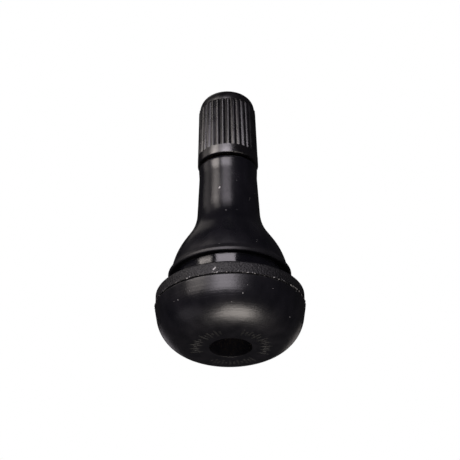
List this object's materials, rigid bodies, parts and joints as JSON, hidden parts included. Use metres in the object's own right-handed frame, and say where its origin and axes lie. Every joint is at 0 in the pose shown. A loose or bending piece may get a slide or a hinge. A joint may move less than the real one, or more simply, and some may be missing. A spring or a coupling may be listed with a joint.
{
  "type": "tyre valve",
  "caption": "Snap-in tyre valve: a rubber body with a round base, rim groove and tapered neck on a threaded brass stem, with a spring core and a ribbed screw-on dust cap.",
  "frame": {"origin": "centre of the round base, at its flat lower face, which lies inside the tyre when the valve is fitted", "axes": "+Z along the valve, from the base to the dust cap; the part is turned about Z, so X and Y are free, and +X passes through an edge between two cap ribs"},
  "size_m": [0.024, 0.024, 0.0466],
  "materials": {
    "body_rubber": "moulded black rubber, satin, with a dull flange",
    "brass": "turned, bright",
    "white_seal": "smooth, slightly waxy",
    "seal_rubber": "matt",
    "spring_steel": "drawn wire",
    "cap_plastic": "moulded black plastic, satin"
  },
  "bodies": {
    "valve": {"rubber_body": "body_rubber", "brass_stem": "brass", "core_plug": "brass", "core_barrel": "brass", "barrel_seal": "white_seal", "core_spring": "spring_steel"},
    "plunger": {"core_pin": "brass", "plunger_cup": "brass", "cup_seal": "seal_rubber"},
    "cap_carrier": {"cap_washer": "seal_rubber"},
    "cap": {"valve_cap": "cap_plastic"}
  },
  "joints": [
    {"name": "pin_press", "type": "slide", "parent": "valve", "child": "plunger", "axis": [0, 0, -1], "range_m": [0, 0.0014], "stiffness_N_per_m": 600, "springref_m": -0.003, "deforming": ["core_spring"]},
    {"name": "cap_lift", "type": "slide", "parent": "valve", "child": "cap_carrier", "axis": [0, 0, 1], "range_m": [0, 0.01032]},
    {"name": "cap_turn", "type": "hinge", "parent": "cap_carrier", "child": "cap", "pos_m": [0, 0, 0.033], "axis": [0, 0, 1], "range_deg": [0, 4680]}
  ],
  "couplings": [
    {"joint": "cap_turn", "follows": "cap_lift", "rad_per_m": 7915.8}
  ]
}
